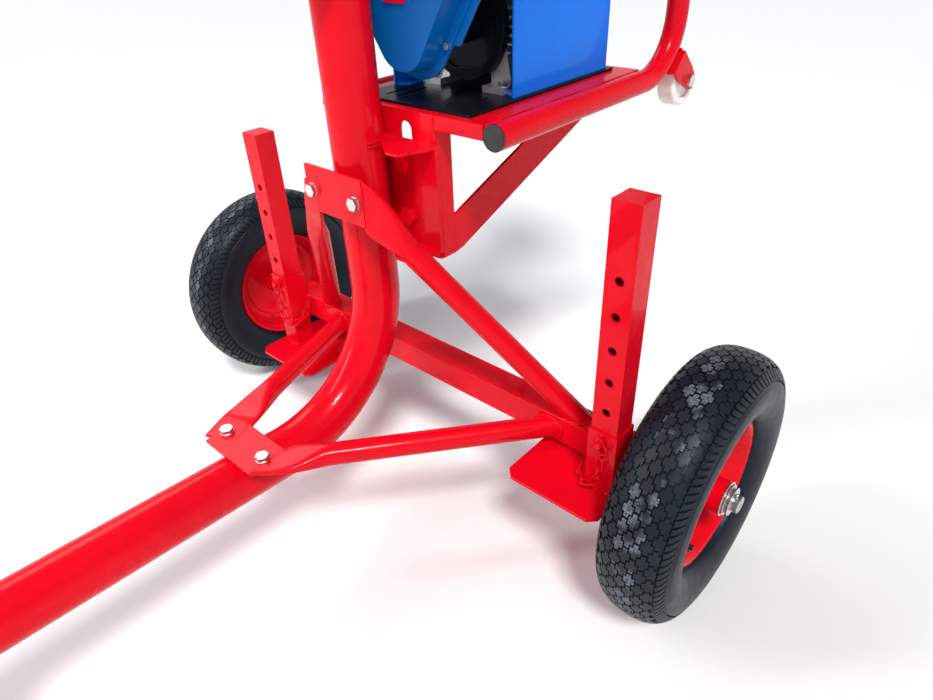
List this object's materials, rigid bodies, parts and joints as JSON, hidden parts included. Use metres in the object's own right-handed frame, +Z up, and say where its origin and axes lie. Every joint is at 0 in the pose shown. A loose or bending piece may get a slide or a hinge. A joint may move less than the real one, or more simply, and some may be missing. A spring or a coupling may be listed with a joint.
{
  "type": "tow-behind wood chipper",
  "caption": "Electric disc wood chipper offset on a bent-tube two-wheel trailer chassis with drop legs, belt guard, motor and feed hopper.",
  "frame": {"origin": "centre of the machine's footprint box on the ground", "axes": "+Z up; -Y to the drawbar's tow eye; +X to the machine's right wheel"},
  "size_m": [1.14, 1.61, 1.338],
  "materials": {
    "red_enamel": "glossy red enamel",
    "blue_enamel": "glossy blue enamel",
    "black_enamel": "semi-gloss black paint",
    "zinc": "zinc-plated steel",
    "bare_steel": "machined steel",
    "tyre_rubber": "matt black rubber",
    "belt_rubber": "matt black rubber",
    "nylon": "cream nylon",
    "black_plastic": "satin black plastic",
    "cast_aluminium": "cast aluminium",
    "cast_iron": "machined cast iron",
    "switch_grey": "satin dark grey plastic",
    "button_green": "green plastic",
    "button_red": "red plastic"
  },
  "bodies": {
    "chassis": {"main_tube": "red_enamel", "tube_caps": "black_plastic", "tow_eye": "red_enamel", "stand_sleeve": "red_enamel", "axle_beam": "red_enamel", "leg_sleeves": "red_enamel", "axle_shaft": "red_enamel", "axle_brackets": "red_enamel", "axle_washers": "zinc", "tube_brackets": "red_enamel", "brace_plates": "red_enamel", "braces_upper": "red_enamel", "braces_lower": "red_enamel", "column_bracket": "red_enamel", "bracket_bolts": "red_enamel", "zinc_fasteners": "zinc", "pin_chains": "red_enamel", "mount_channel": "red_enamel", "platform_frame": "red_enamel", "platform_braces": "red_enamel", "skid_tubes": "red_enamel", "handle_bars": "red_enamel", "roller_forks": "red_enamel", "base_plate": "black_enamel", "side_panel_right": "blue_enamel", "side_panel_left": "blue_enamel", "deck_plate": "blue_enamel", "motor_body": "cast_aluminium", "motor_end_shield": "black_enamel", "motor_fan_cowl": "black_enamel", "drive_belts": "belt_rubber", "guard_back": "blue_enamel", "guard_front": "blue_enamel", "guard_cover": "red_enamel", "rotor_housing": "blue_enamel", "housing_back_plate": "blue_enamel", "bearings": "cast_iron", "feed_hopper": "blue_enamel", "discharge_chute": "blue_enamel", "switch_box": "switch_grey"},
    "stand": {"stand_leg": "red_enamel"},
    "stand_pin": {"stand_pin": "red_enamel"},
    "right_leg": {"leg_right": "red_enamel"},
    "left_leg": {"leg_left": "red_enamel"},
    "right_leg_pin": {"leg_pin_right": "red_enamel"},
    "left_leg_pin": {"leg_pin_left": "red_enamel"},
    "right_wheel": {"rim_right": "red_enamel", "tyre_right": "tyre_rubber"},
    "left_wheel": {"rim_left": "red_enamel", "tyre_left": "tyre_rubber"},
    "right_roller": {"roller_right": "nylon"},
    "left_roller": {"roller_left": "nylon"},
    "motor_rotor": {"motor_shaft": "bare_steel", "motor_pulley": "cast_iron"},
    "chipper_rotor": {"rotor_disc": "bare_steel", "chipper_knives": "bare_steel", "rotor_pulley": "cast_iron"},
    "deflector": {"chute_deflector": "blue_enamel"},
    "start": {"start_button": "button_green"},
    "stop": {"stop_button": "button_red"}
  },
  "joints": [
    {"name": "right_leg_slide", "type": "slide", "parent": "chassis", "child": "right_leg", "axis": [0, 0, 1], "range_m": [-0.141, 0]},
    {"name": "left_leg_slide", "type": "slide", "parent": "chassis", "child": "left_leg", "axis": [0, 0, 1], "range_m": [-0.1, 0.047]},
    {"name": "stand_slide", "type": "slide", "parent": "chassis", "child": "stand", "axis": [0, 0, 1], "range_m": [0, 0.15]},
    {"name": "right_leg_pin_pull", "type": "slide", "parent": "chassis", "child": "right_leg_pin", "axis": [0, -1, 0], "range_m": [0, 0.02]},
    {"name": "left_leg_pin_pull", "type": "slide", "parent": "chassis", "child": "left_leg_pin", "axis": [0, -1, 0], "range_m": [0, 0.02]},
    {"name": "stand_pin_pull", "type": "slide", "parent": "chassis", "child": "stand_pin", "axis": [0, -1, 0], "range_m": [0, 0.02]},
    {"name": "right_wheel_spin", "type": "hinge", "parent": "chassis", "child": "right_wheel", "pos_m": [0.504, 0.375, 0.205], "axis": [1, 0, 0], "continuous": true},
    {"name": "left_wheel_spin", "type": "hinge", "parent": "chassis", "child": "left_wheel", "pos_m": [-0.504, 0.375, 0.205], "axis": [1, 0, 0], "continuous": true},
    {"name": "right_roller_spin", "type": "hinge", "parent": "chassis", "child": "right_roller", "pos_m": [0.212, 0.76043, 0.64912], "axis": [1, 0, 0], "continuous": true},
    {"name": "left_roller_spin", "type": "hinge", "parent": "chassis", "child": "left_roller", "pos_m": [-0.1, 0.76043, 0.64912], "axis": [1, 0, 0], "continuous": true},
    {"name": "motor_spin", "type": "hinge", "parent": "chassis", "child": "motor_rotor", "pos_m": [0.056, 0.375, 0.766], "axis": [0, 1, 0], "continuous": true},
    {"name": "chipper_spin", "type": "hinge", "parent": "chassis", "child": "chipper_rotor", "pos_m": [0.056, 0.375, 0.99], "axis": [0, 1, 0], "continuous": true},
    {"name": "deflector_hinge", "type": "hinge", "parent": "chassis", "child": "deflector", "pos_m": [0.008, 0.437, 1.217], "axis": [0, 1, 0], "range_deg": [0, 60]},
    {"name": "start_press", "type": "slide", "parent": "chassis", "child": "start", "axis": [0, 1, 0], "range_m": [0, 0.004], "stiffness_N_per_m": 400, "springref_m": -0.002},
    {"name": "stop_press", "type": "slide", "parent": "chassis", "child": "stop", "axis": [0, 1, 0], "range_m": [0, 0.004], "stiffness_N_per_m": 400, "springref_m": -0.002}
  ],
  "couplings": [
    {"joint": "motor_spin", "follows": "chipper_spin", "ratio": 3.3333}
  ]
}
